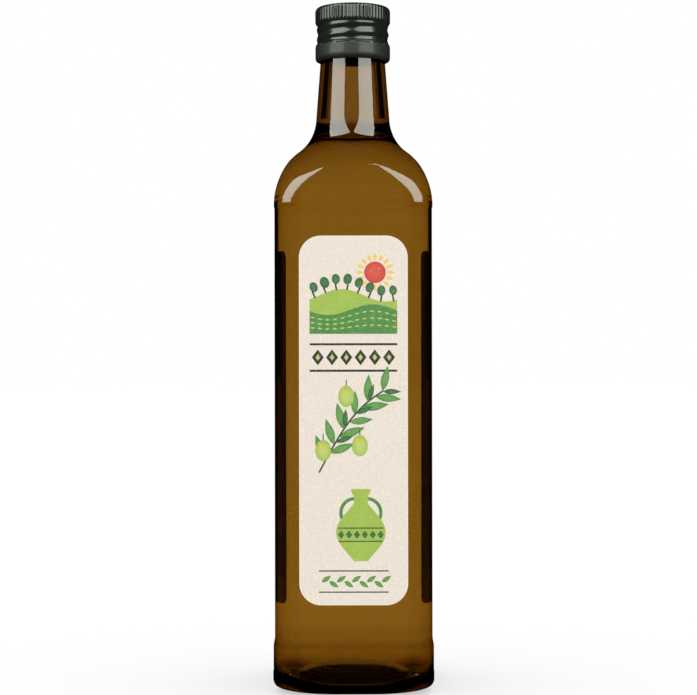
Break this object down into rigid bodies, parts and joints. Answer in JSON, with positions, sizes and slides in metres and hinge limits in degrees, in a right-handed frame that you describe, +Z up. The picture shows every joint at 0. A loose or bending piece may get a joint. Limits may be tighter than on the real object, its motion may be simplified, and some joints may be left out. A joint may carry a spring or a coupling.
{
  "type": "olive oil bottle",
  "caption": "Square dark glass bottle with rounded corners and a round tapering neck, filled with olive oil, shut by a knurled metal screw cap, with a paper label front and back.",
  "frame": {"origin": "centre of the foot on the surface that it stands on", "axes": "+Z up along the bottle, front label towards -Y"},
  "size_m": [0.0678, 0.0678, 0.2918],
  "materials": {
    "glass": "clear dark amber green glass, smooth",
    "oil": "clear golden liquid, smooth",
    "cap_metal": "dark green lacquer, glossy",
    "label_paper": "uncoated cream paper with fine flecks, printed"
  },
  "bodies": {
    "root": {"glass_bottle": "glass", "olive_oil": "oil", "screw_cap": "cap_metal", "front_label": "label_paper", "back_label": "label_paper"}
  },
  "joints": []
}
